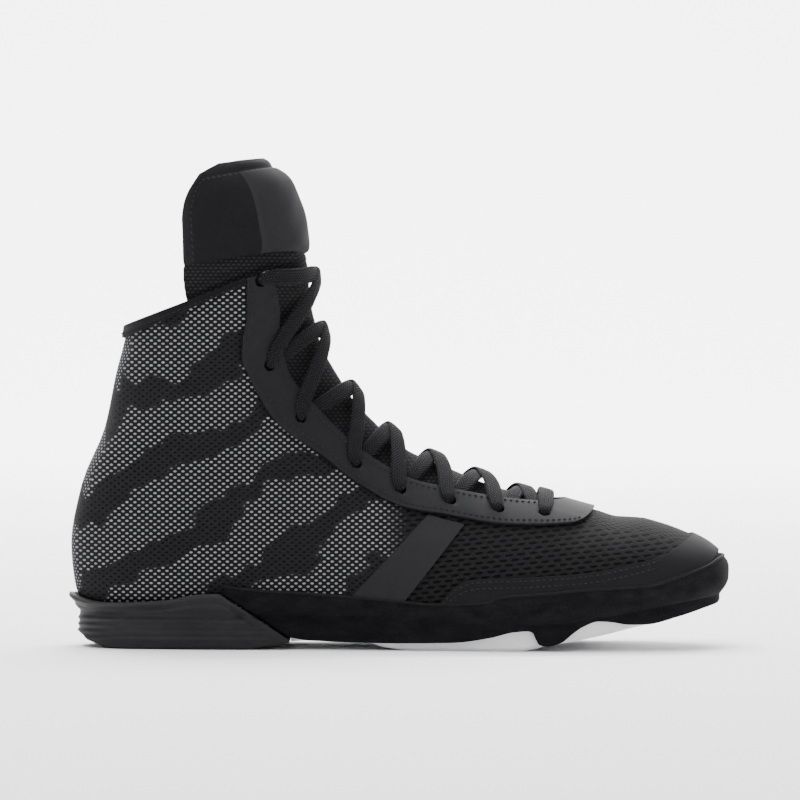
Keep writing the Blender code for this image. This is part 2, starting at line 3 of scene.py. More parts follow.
from functools import lru_cache
from math import cos, exp, pi, radians, sin

import bmesh
import bpy
import numpy as np
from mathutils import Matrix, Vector
from mathutils.bvhtree import BVHTree


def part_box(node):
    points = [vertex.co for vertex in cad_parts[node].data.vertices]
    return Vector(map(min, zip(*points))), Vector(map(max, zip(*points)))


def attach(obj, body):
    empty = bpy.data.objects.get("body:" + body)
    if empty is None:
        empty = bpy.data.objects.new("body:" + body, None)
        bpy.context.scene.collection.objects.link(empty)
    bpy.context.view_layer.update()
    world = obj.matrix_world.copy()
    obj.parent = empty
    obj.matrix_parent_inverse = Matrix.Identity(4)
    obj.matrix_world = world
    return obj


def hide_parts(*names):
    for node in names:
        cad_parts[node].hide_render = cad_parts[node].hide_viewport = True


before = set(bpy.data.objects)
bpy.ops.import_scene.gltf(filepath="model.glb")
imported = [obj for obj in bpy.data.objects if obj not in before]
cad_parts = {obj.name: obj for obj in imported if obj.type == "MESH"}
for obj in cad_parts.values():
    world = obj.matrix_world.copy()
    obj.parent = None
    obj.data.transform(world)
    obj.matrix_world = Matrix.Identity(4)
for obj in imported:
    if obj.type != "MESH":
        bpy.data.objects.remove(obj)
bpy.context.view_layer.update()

# Driving sizes
FOOT_LENGTH = 0.288
TOTAL_HEIGHT = 0.216
BALL_WIDTH = 0.098
UPPER_WALL = 0.0022
GAP = 0.0003
CUP_GAP = 0.0022
EYESTAY_THICKNESS = 0.0012
PANEL_THICKNESS = 0.0007
FOXING_THICKNESS = 0.0014
BINDING_THICKNESS = 0.0010
TONGUE_THICKNESS = 0.0036
INSOLE_THICKNESS = 0.0030
EYELET_RADIUS = 0.0025
LACE_WIDTH = 0.007
LACE_THICKNESS = 0.0015
CUP_THICKNESS = 0.0022
CUP_RIB = 0.0009
GROOVE_DEPTH = 0.0016
GROOVE_WIDTH = 0.0022
LUG_PITCH = 0.0095
FOXING_IN = 0.0004
OVERLAY_IN = 0.0004
CUP_IN = 0.0005
CUP_RIB_LEVELS = (0.0044, 0.0072, 0.0100, 0.0128)
TREAD_MARGIN = 0.007
PIPING_RADIUS = 0.00065
FAN_STATIONS = 61

# One row for each section of the last, from the toe's lower edge up to the tongue's top: the
# ridge point and the base point in the side view, then the half widths and the section's form.
# Lengthwise places are shares of FOOT_LENGTH from the middle, heights are shares of TOTAL_HEIGHT
# and half widths are shares of BALL_WIDTH. "widest" is the share of the way from ridge to base.
SECTION_COLUMNS = ("ridge_x", "ridge_z", "base_x", "base_z", "outer", "inner", "widest", "top", "low")
SECTIONS = (
    (0.484, 0.106, 0.462, 0.094, 0.153, 0.173, 0.50, 2.0, 2.0),
    (0.498, 0.137, 0.444, 0.087, 0.245, 0.265, 0.50, 2.0, 2.2),
    (0.499, 0.162, 0.424, 0.080, 0.306, 0.326, 0.55, 2.0, 2.6),
    (0.491, 0.187, 0.399, 0.073, 0.357, 0.377, 0.62, 2.0, 3.0),
    (0.474, 0.208, 0.372, 0.066, 0.398, 0.408, 0.66, 2.1, 3.4),
    (0.441, 0.231, 0.344, 0.059, 0.434, 0.439, 0.69, 2.1, 3.7),
    (0.389, 0.255, 0.313, 0.052, 0.464, 0.464, 0.71, 2.1, 4.0),
    (0.335, 0.266, 0.278, 0.044, 0.490, 0.474, 0.73, 2.1, 4.0),
    (0.274, 0.287, 0.236, 0.036, 0.505, 0.474, 0.74, 2.0, 4.0),
    (0.215, 0.310, 0.188, 0.031, 0.505, 0.459, 0.75, 1.9, 4.0),
    (0.156, 0.333, 0.132, 0.031, 0.480, 0.429, 0.76, 1.8, 4.0),
    (0.090, 0.366, 0.056, 0.038, 0.439, 0.378, 0.76, 1.7, 4.0),
    (0.021, 0.407, -0.035, 0.048, 0.403, 0.347, 0.77, 1.6, 4.0),
    (-0.035, 0.468, -0.132, 0.053, 0.372, 0.337, 0.77, 1.6, 3.8),
    (-0.069, 0.523, -0.236, 0.051, 0.367, 0.347, 0.76, 1.7, 3.6),
    (-0.097, 0.583, -0.333, 0.049, 0.372, 0.357, 0.72, 1.8, 3.2),
    (-0.115, 0.639, -0.424, 0.052, 0.367, 0.357, 0.64, 1.9, 2.9),
    (-0.122, 0.685, -0.476, 0.079, 0.362, 0.357, 0.57, 2.0, 2.6),
    (-0.125, 0.713, -0.494, 0.134, 0.360, 0.357, 0.52, 2.0, 2.4),
    (-0.127, 0.736, -0.499, 0.213, 0.360, 0.360, 0.51, 2.0, 2.3),
    (-0.128, 0.755, -0.483, 0.329, 0.360, 0.360, 0.50, 2.1, 2.2),
    (-0.130, 0.771, -0.448, 0.444, 0.362, 0.362, 0.50, 2.1, 2.2),
    (-0.131, 0.785, -0.431, 0.551, 0.365, 0.365, 0.50, 2.1, 2.2),
    (-0.132, 0.796, -0.414, 0.646, 0.367, 0.367, 0.50, 2.1, 2.2),
    (-0.135, 0.843, -0.410, 0.713, 0.367, 0.367, 0.50, 2.1, 2.1),
    (-0.144, 0.894, -0.406, 0.787, 0.357, 0.357, 0.50, 2.0, 2.0),
    (-0.161, 0.949, -0.403, 0.870, 0.337, 0.337, 0.50, 2.0, 2.0),
    (-0.201, 1.000, -0.392, 0.958, 0.296, 0.296, 0.50, 2.0, 2.0),
)
TONGUE_TOP = 26.97
VAMP_POINT = 8.3
HEEL_SEAT_START = 15.0
HEEL_SEAT_END = 16.7
LASTING_ANGLE = radians(152)

# Angles round the section from the ridge, in degrees, at the rows of SECTIONS named first
THROAT_EDGE = (
    (8.3, 0), (8.42, 10), (8.7, 18), (9, 23), (10, 28), (11, 32), (12, 34), (13, 34), (14, 34),
    (15, 36), (16, 40), (17, 43), (18, 44), (19, 45), (20, 47), (21, 50), (22, 53), (23, 57),
)
EYESTAY_EDGE = (
    (7.6, 0), (7.68, 20), (7.85, 31), (8.2, 38), (9, 44), (10, 48), (11, 50), (12, 52), (13, 50),
    (14, 48), (15, 51), (16, 54), (17, 58), (18, 62), (19, 65), (20, 67), (21, 68), (22, 70), (23, 72),
)
TONGUE_EDGE = (
    (7.9, 20), (8.2, 32), (9, 40), (10, 44), (12, 50), (14, 54), (16, 60), (18, 70), (20, 85),
    (22, 100), (23, 109), (24, 113), (25, 114), (25.6, 114), (26, 112), (26.3, 108), (26.5, 103),
    (26.75, 94), (26.97, 74),
)
# Lace holes: row and angle of each, from the lowest to the top one
EYELETS = ((8.85, 34), (10.0, 38), (11.05, 41), (12.05, 43), (13.1, 42), (15.0, 44), (17.3, 51), (22.6, 63))

# Side-view edges: lengthwise share of FOOT_LENGTH, height share of TOTAL_HEIGHT
FOXING_TOP = (
    (-0.27, 0.128), (-0.2, 0.118), (-0.15, 0.114), (-0.07, 0.106), (0.0, 0.098), (0.06, 0.092),
    (0.13, 0.096), (0.155, 0.108), (0.23, 0.116), (0.275, 0.122), (0.37, 0.13), (0.42, 0.151),
    (0.46, 0.170), (0.50, 0.192),
)
FOXING_LOW = (
    (-0.163, 0.024), (-0.13, 0.018), (-0.03, 0.0145), (0.08, 0.0165), (0.136, 0.0265), (0.174, 0.039),
    (0.195, 0.041), (0.204, 0.036), (0.209, 0.016), (0.222, 0.010), (0.245, 0.018), (0.262, 0.036),
    (0.278, 0.050), (0.3, 0.060), (0.32, 0.0585), (0.345, 0.053), (0.37, 0.0525), (0.42, 0.0665),
    (0.46, 0.0815), (0.50, 0.098),
)
OVERLAY_TOP = (
    (0.06, 0.092), (0.09, 0.132), (0.12, 0.144), (0.18, 0.147), (0.275, 0.155), (0.355, 0.173),
    (0.395, 0.187), (0.42, 0.203), (0.456, 0.232),
)
FEATHER = (
    (-0.5, 0.075), (-0.25, 0.070), (0.0, 0.068), (0.12, 0.055), (0.2, 0.053), (0.3, 0.066),
    (0.4, 0.090), (0.5, 0.110),
)
SOLE_BOTTOM = (
    (-0.163, 0.016), (-0.10, 0.020), (-0.05, 0.016), (-0.015, 0.004), (0.01, 0.0), (0.19, 0.0),
    (0.215, 0.008), (0.26, 0.019), (0.31, 0.032), (0.36, 0.048), (0.41, 0.061), (0.46, 0.079),
    (0.49, 0.092),
)
CUP_BOTTOM = (
    (-0.50, 0.06), (-0.478, 0.036), (-0.46, 0.016), (-0.43, 0.002), (-0.41, 0.0), (-0.24, 0.0),
    (-0.2, 0.006), (-0.163, 0.014),
)
CUP_RIM = (
    (-0.5, 0.142), (-0.485, 0.124), (-0.46, 0.1), (-0.43, 0.094), (-0.35, 0.100), (-0.30, 0.112),
    (-0.272, 0.113), (-0.255, 0.1), (-0.21, 0.06), (-0.163, 0.018),
)
# The underside of the last, from the toe to the heel seat
UPPER_BASE = sorted((row[2], row[3]) for row in SECTIONS[:17])
PANEL_TOP = ((0.0, 0.274), (0.045, 0.262), (0.10, 0.243))
PANEL_TOP_BACK, PANEL_TOP_FRONT = 0.045, 0.10
PANEL_LOW_BACK, PANEL_LOW_FRONT = -0.075, 0.006
SOLE_SPLIT = -0.163
FOXING_BACK = -0.262
SIDE_LEVEL = 0.125
HEEL_CENTRE, TOE_CENTRE = -0.37, 0.33


def smooth_table(points, at):
    """Monotone cubic reading of a short table at the place given."""
    x = [p[0] for p in points]
    y = [p[1] for p in points]
    if at <= x[0]:
        return y[0]
    if at >= x[-1]:
        return y[-1]
    i = max(k for k in range(len(x) - 1) if x[k] <= at)

    def slope(k):
        if k == 0 or k == len(x) - 1:
            a, b = (0, 1) if k == 0 else (-2, -1)
            return (y[b] - y[a]) / (x[b] - x[a])
        before = (y[k] - y[k - 1]) / (x[k] - x[k - 1])
        after = (y[k + 1] - y[k]) / (x[k + 1] - x[k])
        return 0.0 if before * after <= 0 else 2 * before * after / (before + after)

    width = x[i + 1] - x[i]
    t = (at - x[i]) / width
    return (
        (2 * t**3 - 3 * t**2 + 1) * y[i]
        + (t**3 - 2 * t**2 + t) * width * slope(i)
        + (3 * t**2 - 2 * t**3) * y[i + 1]
        + (t**3 - t**2) * width * slope(i + 1)
    )


COLUMN = {
    name: tuple((row, values[k]) for row, values in enumerate(SECTIONS))
    for k, name in enumerate(SECTION_COLUMNS)
}


def height_at(table, x):
    """Height in metres of a side-view edge at lengthwise place x in metres."""
    return smooth_table(table, x / FOOT_LENGTH) * TOTAL_HEIGHT


@lru_cache(maxsize=None)
def section_at(row):
    return {name: smooth_table(COLUMN[name], row) for name in SECTION_COLUMNS}


def last_point(row, angle):
    """Point of the last at a section row and an angle from the ridge: outer side below zero."""
    s = section_at(row)
    around = min(abs(angle), pi)
    half = (s["outer"] if angle < 0 else s["inner"]) * BALL_WIDTH
    ridge = np.array((s["ridge_x"] * FOOT_LENGTH, s["ridge_z"] * TOTAL_HEIGHT))
    base = np.array((s["base_x"] * FOOT_LENGTH, s["base_z"] * TOTAL_HEIGHT))
    power = s["top"] if around < pi / 2 else s["low"]
    rise, out = abs(cos(around)), max(sin(around), 0.0)
    spread = (rise**power + out**power) ** (-1 / power)
    rise, out = rise * spread, out * spread
    share = s["widest"] * (1 - rise) if around < pi / 2 else s["widest"] + (1 - s["widest"]) * rise
    x, z = ridge + (base - ridge) * share
    return np.array((x, half * out * (-1 if angle < 0 else 1), z))


def last_normal(row, angle):
    """Outward normal of the last by differences."""
    step = 0.02
    low = max(row - step, 0.0)
    high = min(row + step, len(SECTIONS) - 1.0)
    along = last_point(high, angle) - last_point(low, angle)
    turn = last_point(row, angle + step) - last_point(row, angle - step)
    normal = np.cross(turn, along)
    return normal / np.linalg.norm(normal)


# Soft creases, given one by one: row, angle in degrees, spread in rows, spread in degrees, depth
CREASES = (
    (14.2, 66, 0.35, 26, -0.0011), (14.9, 70, 0.30, 26, 0.0009), (15.7, 74, 0.35, 24, -0.0010),
    (16.6, 84, 0.40, 30, 0.0008), (12.9, 74, 0.40, 24, -0.0008), (18.4, 96, 0.45, 34, -0.0008),
    (7.1, 18, 0.22, 34, -0.0007), (7.9, 46, 0.25, 18, -0.0006), (6.3, 10, 0.25, 30, 0.0005),
    (19.6, 120, 0.5, 30, 0.0007), (21.3, 100, 0.4, 40, -0.0006),
)


@lru_cache(maxsize=None)
def crease_at(row, angle):
    """Height of the creases in the wall, shared by every layer."""
    turn = abs(angle) * 180 / pi
    return sum(
        depth * exp(-(((row - at) / wide) ** 2) - ((turn - around) / far) ** 2)
        for at, around, wide, far, depth in CREASES
    )


def lifted(row, angle, lift):
    return last_point(row, angle) + last_normal(row, angle) * (lift + crease_at(row, angle))


def angle_at_height(row, side, table, rise=0.0):
    """Angle where a section meets a side-view edge: zero where the edge passes over the ridge."""
    low, high = 0.0, pi
    top = last_point(row, 0.0)
    if top[2] < height_at(table, top[0]) + rise:
        return 0.0
    for _ in range(30):
        middle = (low + high) / 2
        point = last_point(row, side * middle)
        if point[2] > height_at(table, point[0]) + rise:
            low = middle
        else:
            high = middle
    return low


def span(start, end, count):
    return [start + (end - start) * k / (count - 1) for k in range(count)]


def stations(runs, turn, heel=False):
    """Level rays round the plan, outer side to inner side: x of the start, then the direction."""
    centre = (HEEL_CENTRE if heel else TOE_CENTRE) * FOOT_LENGTH
    facing = -1 if heel else 1
    outer = [(x, 0.0, -1.0) for x in runs]
    inner = [(x, 0.0, 1.0) for x in runs[::-1]]
    fan = [(centre, facing * cos(a), sin(a)) for a in span(-pi / 2, pi / 2, turn)]
    return outer + fan + inner


def outward(station):
    return Vector((station[1], station[2], 0.0)).normalized()


def reach(tree, station, height, lift=0.0):
    """Plan point of the last at a level, moved out along the station's direction."""
    direction = outward(station)
    hit = tree.ray_cast(Vector((station[0], GAP / 3, height)), direction)[0]
    if hit is None:
        raise ValueError(f"no wall at {station} {height}")
    return hit + direction * lift


def feather_point(tree, station, lift=0.0):
    """The point on the last where its side turns under."""
    guess = reach(tree, station, SIDE_LEVEL * TOTAL_HEIGHT)
    return reach(tree, station, height_at(FEATHER, guess.x), lift)


def degrees_table(table):
    """Reader of an edge given in degrees, the same on both sides."""
    return lambda row, side: radians(smooth_table(table, row))


def upper_low_edge(row, side):
    """Edge of the opening underneath: it rounds off and closes behind the heel seat."""
    if row <= HEEL_SEAT_START:
        return LASTING_ANGLE
    share = min((row - HEEL_SEAT_START) / (HEEL_SEAT_END - HEEL_SEAT_START), 1.0)
    return pi - (pi - LASTING_ANGLE) * max(1 - share**2, 0.0) ** 0.5


# From the last's own frame to the shared one
UPPER_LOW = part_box("upper")[0]
REAR_ROW = 19
WIDEST_OUTER = max(row[4] for row in SECTIONS)
SHIFT = Vector((UPPER_LOW[0] - last_point(REAR_ROW, pi)[0], UPPER_LOW[1] + WIDEST_OUTER * BALL_WIDTH, 0.0))


def refine(rows, steps):
    """Rows with more rows between them."""
    fine = []
    for near, far in zip(rows, rows[1:]):
        fine += span(near, far, steps + 1)[:-1]
    return fine + [rows[-1]]


def linked(name, data):
    made = bpy.data.objects.new(name, data)
    bpy.context.scene.collection.objects.link(made)
    return made


def mesh_object(name, work, look, smooth=True):
    mesh = bpy.data.meshes.new(name)
    work.to_mesh(mesh)
    work.free()
    mesh.materials.append(look)
    if smooth:
        mesh.shade_smooth()
    return linked(name, mesh)


def add_piece(name, work, look, nodes=(), smooth=True):
    """Link a mesh in the shoe's frame, on the shoe's one body, in place of its CAD nodes."""
    bmesh.ops.translate(work, verts=work.verts, vec=SHIFT)
    made = mesh_object(name, work, look, smooth)
    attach(made, "root")
    if nodes:
        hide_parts(*nodes)
    return made


def sheet_mesh(rows, start, end, columns, lift):
    """Both sides of a shell on the last as one open sheet, facing out: its UV is row and angle."""
    work = bmesh.new()
    layer = work.loops.layers.uv.new("length")
    for side in (-1, 1):
        grid = []
        for row in rows:
            angles = span(start(row, side), end(row, side), columns)
            grid.append([(work.verts.new(lifted(row, side * max(a, 1e-9), lift)), row, a) for a in angles])
        for near, far in zip(grid, grid[1:]):
            for k in range(columns - 1):
                corners = [near[k], near[k + 1], far[k + 1], far[k]]
                corners = corners if side > 0 else corners[::-1]
                face = work.faces.new([c[0] for c in corners])
                for loop, corner in zip(face.loops, corners):
                    loop[layer].uv = (corner[1], side * corner[2])
    bmesh.ops.remove_doubles(work, verts=work.verts, dist=2e-5)
    bmesh.ops.dissolve_degenerate(work, edges=work.edges, dist=1e-6)
    return work


def punch(work, radius):
    """Cut the round lace holes out of a fine sheet."""
    for row, turn in EYELETS:
        for side in (-1, 1):
            centre = Vector(lifted(row, side * radians(turn), 0.0))
            normal = Vector(last_normal(row, side * radians(turn)))
            gone = []
            for face in work.faces:
                away = face.calc_center_median() - centre
                if away.length < 2 * radius and (away - normal * away.dot(normal)).length < 0.95 * radius:
                    gone.append(face)
            rim = {v for face in gone for v in face.verts}
            bmesh.ops.delete(work, geom=gone, context="FACES")
            for v in rim:
                if v.is_valid:
                    away = v.co - centre
                    away -= normal * away.dot(normal)
                    v.co += away.normalized() * radius - away


def soften(made, width, limit):
    """Round the edges that are sharper than a limit in degrees."""
    edge = made.modifiers.new("edge", "BEVEL")
    edge.width = width
    edge.segments = 2
    edge.limit_method = "ANGLE"
    edge.angle_limit = radians(limit)
    return edge


def add_shell(name, rows, start, end, columns, lift, thickness, look, nodes, soft_edge=0.0,
              holes=0.0, inside=None):
    """A fine shell with a wall, with a rounded edge, lace holes and a lining where they are given."""
    work = sheet_mesh(rows, start, end, columns, lift)
    if holes:
        punch(work, holes)
    made = add_piece(name, work, look, nodes)
    wall = made.modifiers.new("wall", "SOLIDIFY")
    wall.thickness = abs(thickness)
    wall.offset = 1.0 if thickness > 0 else -1.0
    if inside:
        made.data.materials.append(inside)
        wall.material_offset = 1
    if soft_edge:
        soften(made, soft_edge, 50)
    return made


def base_height(x):
    return height_at(UPPER_BASE, x)


def close_faces(work):
    """Join equal points and turn every face outward."""
    bmesh.ops.remove_doubles(work, verts=work.verts, dist=2e-6)
    bmesh.ops.dissolve_degenerate(work, edges=work.edges, dist=1e-7)
    bmesh.ops.recalc_face_normals(work, faces=work.faces)


def last_tree():
    """The creased last as a search tree, for outlines at a level."""
    rows = refine(range(len(SECTIONS)), 5)
    angles = span(-pi, pi, 97)
    points = [Vector(lifted(row, angle, 0.0)) for row in rows for angle in angles]
    across = len(angles)
    corners = [i * across + k for i in range(len(rows) - 1) for k in range(across - 1)]
    faces = [(c, c + 1, c + across + 1, c + across) for c in corners]
    faces.append(tuple(range(across - 1)))
    return BVHTree.FromPolygons(points, faces)


def join_rings(work, rings, closed):
    """Faces between neighbouring rings, all the way round where the rings are closed."""
    count = len(rings[0])
    for near, far in zip(rings, rings[1:]):
        for k in range(count if closed else count - 1):
            after = (k + 1) % count
            work.faces.new((near[k], near[after], far[after], far[k]))


def cap_ends(work, rings):
    work.faces.new(rings[0])
    work.faces.new(rings[-1][::-1])


def sweep_mesh(profiles, bridged):
    """A solid from equal profiles along the stations, closed across the plan or at its ends."""
    work = bmesh.new()
    rings = [[work.verts.new(p) for p in profile] for profile in profiles]
    join_rings(work, rings, not bridged)
    if bridged:
        half = len(rings) // 2
        for level in (0, -1):
            for k in range(half - 1):
                corners = (rings[k], rings[k + 1], rings[-2 - k], rings[-1 - k])
                work.faces.new([ring[level] for ring in corners])
            work.faces.new([rings[half + k][level] for k in (-1, 0, 1)])
        work.faces.new(rings[0] + rings[-1][::-1])
    else:
        cap_ends(work, rings)
    close_faces(work)
    return work


def at_level(point, height):
    return Vector((point.x, point.y, height))


def foxing_stations():
    runs = span(FOXING_BACK * FOOT_LENGTH, TOE_CENTRE * FOOT_LENGTH, 150)[:-1]
    return stations(runs, FAN_STATIONS)


def foxing_mesh(tree):
    """The suede band: it hugs the upper, then drops straight to its wavy lower edge."""
    profiles = []
    for station in foxing_stations():
        foot = feather_point(tree, station)
        direction = outward(station)
        top = height_at(FOXING_TOP, foot.x)
        low = height_at(FOXING_LOW, foot.x)
        if foot.x < SOLE_SPLIT * FOOT_LENGTH:
            low = max(low, height_at(CUP_RIM, foot.x) + 4 * GAP)
        bend = max(height_at(FEATHER, foot.x), low + GAP)
        inside = [reach(tree, station, z) for z in span(top, bend, 9)]
        inside += [at_level(inside[-1], z) for z in span(bend, low, 4)[1:]]
        near = [p + direction * FOXING_IN for p in inside]
        far = [p + direction * (FOXING_IN + FOXING_THICKNESS) for p in inside]
        far[0] -= direction * FOXING_THICKNESS * 0.35
        far[-1] -= direction * FOXING_THICKNESS * 0.3
        profiles.append(near + far[::-1])
    return sweep_mesh(profiles, False)


def cup_mesh(tree):
    """The heel's rubber cup: a rim bead, a groove under it, level ribs and a cut front edge."""
    split = SOLE_SPLIT * FOOT_LENGTH - GAP
    runs = span(split, HEEL_CENTRE * FOOT_LENGTH, 60)[:-1]
    profiles = []
    for station in stations(runs, FAN_STATIONS, heel=True):
        foot = feather_point(tree, station)
        direction = outward(station)
        low = height_at(CUP_BOTTOM, foot.x)
        rim = max(height_at(CUP_RIM, foot.x), low + 0.002)
        plate = max(base_height(foot.x) - 4 * GAP, low + GAP)
        feather = height_at(FEATHER, foot.x)
        tall = min(max((rim - low - 0.006) / 0.010, 0.0), 1.0)
        outside = []
        for share in span(0, 1, 49):
            z = low + 0.001 + (rim - low - 0.001) * share
            wall = reach(tree, station, max(z, feather))
            out = CUP_GAP + CUP_THICKNESS * (1 - 0.35 * share)
            below = (rim - z) * 1000
            out += 0.0007 * exp(-((below - 1.3) / 0.9) ** 2) * tall
            out -= 0.0006 * exp(-((below - 4.0) / 0.7) ** 2) * tall
            for level in CUP_RIB_LEVELS:
                out += CUP_RIB * 0.8 * exp(-(((z - level) / 0.0007) ** 2)) * tall
            outside.append(at_level(wall, z) + direction * out)
        first = at_level(outside[0], low) - direction * 0.001
        turn = min(feather, rim)
        inside = [at_level(reach(tree, station, max(z, feather)), z) + direction * CUP_IN
                  for z in span(rim, turn, 6)]
        step = CUP_IN if rim > plate + GAP else -2 * GAP
        inside += [at_level(foot, z) + direction * step for z in (turn - GAP / 3, plate)]
        profiles.append([first] + outside + inside)
    return sweep_mesh(profiles, True)


def sole_rows():
    """Lengthwise places of the outsole's stations: two at each side of each groove."""
    places = span(SOLE_SPLIT * FOOT_LENGTH + GAP, -0.02 * FOOT_LENGTH, 24)
    edge = GROOVE_WIDTH / 2
    groove = LUG_PITCH / 2
    while groove < TOE_CENTRE * FOOT_LENGTH - LUG_PITCH / 2:
        places += [groove - edge - GAP, groove - edge, groove + edge, groove + edge + GAP]
        groove += LUG_PITCH
    return places


def groove_at(x):
    """Depth of the cross grooves between the lugs."""
    if x < 0 or x > TOE_CENTRE * FOOT_LENGTH - LUG_PITCH / 2:
        return 0.0
    return GROOVE_DEPTH if abs((x % LUG_PITCH) - LUG_PITCH / 2) < GROOVE_WIDTH / 2 + GAP / 2 else 0.0


def outsole_mesh(tree):
    """Forefoot and arch sole: grooves across the bottom that stop short of a plain edge."""
    profiles = []
    for station in stations(sole_rows(), FAN_STATIONS):
        foot = feather_point(tree, station, -2 * GAP)
        direction = outward(station)
        low = height_at(SOLE_BOTTOM, foot.x)
        top = max(base_height(foot.x) - GAP, low + 0.0022)
        edge = min(0.0015, (top - low) * 0.4)
        cut = min(groove_at(foot.x), (top - low) * 0.6)
        rim = max(min(height_at(FOXING_LOW, foot.x) + 0.002, height_at(FEATHER, foot.x)), top)
        profiles.append([
            at_level(foot, low + cut) - direction * TREAD_MARGIN,
            at_level(foot, low) - direction * (TREAD_MARGIN - 0.0008),
            at_level(foot, low) - direction * edge,
            at_level(foot, low + edge),
            at_level(foot, rim),
            at_level(foot, top) - direction * 0.003,
        ])
    return sweep_mesh(profiles, True)


def footbed_mesh(tree):
    """The footbed inside the upper, above its turned-in edge."""
    heel = HEEL_CENTRE * FOOT_LENGTH
    behind = [(heel, -cos(radians(a)), -sin(radians(a))) for a in range(10, 90, 10)]
    runs = span(heel, TOE_CENTRE * FOOT_LENGTH, 60)[:-1]
    ring = behind + stations(runs, 41) + [(x, a, -b) for x, a, b in behind[::-1]]
    profiles = []
    for station in ring:
        foot = feather_point(tree, station)
        low = base_height(foot.x) + UPPER_WALL + 7 * GAP
        wall = reach(tree, station, low, -2.4 * (UPPER_WALL + 2 * GAP))
        direction = outward(station)
        low_point = at_level(wall, low)
        top_point = low_point + Vector((0, 0, INSOLE_THICKNESS)) - direction * GAP
        profiles.append([low_point, top_point, top_point - direction * 0.004 - Vector((0, 0, 0.0005))])
    return sweep_mesh(profiles, True)


def side_panel_mesh(tree, side):
    """The slanting panel, from the facing down to the foxing."""
    work = bmesh.new()
    skins = []
    for lift in (GAP, GAP + PANEL_THICKNESS):
        grid = []
        for v in span(0, 1, 31):
            line = []
            for u in span(0, 1, 17):
                top_x = PANEL_TOP_BACK + (PANEL_TOP_FRONT - PANEL_TOP_BACK) * u
                low_x = PANEL_LOW_BACK + (PANEL_LOW_FRONT - PANEL_LOW_BACK) * u
                x = (top_x + (low_x - top_x) * v) * FOOT_LENGTH
                top_z = height_at(PANEL_TOP, top_x * FOOT_LENGTH) + 0.002
                low_z = height_at(FOXING_TOP, low_x * FOOT_LENGTH) - 0.001
                place = reach(tree, (x, 0.0, side), top_z + (low_z - top_z) * v, lift)
                line.append(work.verts.new(place))
            grid.append(line)
        skins.append(grid)
    rims = []
    for grid in skins:
        join_rings(work, grid, False)
        ends = [line[-1] for line in grid[1:]], [line[0] for line in grid[-2:0:-1]]
        rims.append(grid[0] + ends[0] + grid[-1][-2::-1] + ends[1])
    join_rings(work, rims, True)
    close_faces(work)
    return work


def smooth_route(places, steps):
    """Catmull-Rom route through (row, angle, lift, width) places."""
    path = [np.array(places[0])] + [np.array(p) for p in places] + [np.array(places[-1])]
    route = []
    for k in range(1, len(path) - 2):
        a, b, c, d = path[k - 1:k + 3]
        for t in span(0, 1, steps + 1)[:-1]:
            route.append(0.5 * (2 * b + (c - a) * t + (2 * a - 5 * b + 4 * c - d) * t**2
                                + (3 * b - a - 3 * c + d) * t**3))
    return route + [path[-2]]


def tape_mesh(work, places, sides=12):
    """A flat woven tape along places given on the last: its UV is metres across and along."""
    route = smooth_route(places, 10)
    middles = [last_point(r[0], r[1]) + last_normal(r[0], r[1]) * r[2] for r in route]
    layer = work.loops.layers.uv.verify()
    rings = []
    length = 0.0
    for k, (row, angle, _lift, width) in enumerate(route):
        ahead = middles[min(k + 1, len(route) - 1)] - middles[max(k - 1, 0)]
        if k:
            length += float(np.linalg.norm(middles[k] - middles[k - 1]))
        ahead = ahead / np.linalg.norm(ahead)
        normal = last_normal(row, angle)
        across = np.cross(normal, ahead)
        across /= np.linalg.norm(across)
        up = np.cross(ahead, across)
        ring = []
        for j in range(sides):
            turn = 2 * pi * j / sides
            wide = cos(turn) * (abs(cos(turn)) ** -0.45 if abs(cos(turn)) > 1e-6 else 0)
            place = middles[k] + across * wide * width / 2 + up * sin(turn) * LACE_THICKNESS / 2
            ring.append((work.verts.new(place), wide * width / 2, length))
        rings.append(ring)
    for near, far in zip(rings, rings[1:]):
        for j in range(sides):
            after = (j + 1) % sides
            corners = (near[j], near[after], far[after], far[j])
            face = work.faces.new([c[0] for c in corners])
            for loop, corner in zip(face.loops, corners):
                loop[layer].uv = (corner[1], corner[2])
    work.faces.new([c[0] for c in rings[0]])
    work.faces.new([c[0] for c in rings[-1]][::-1])


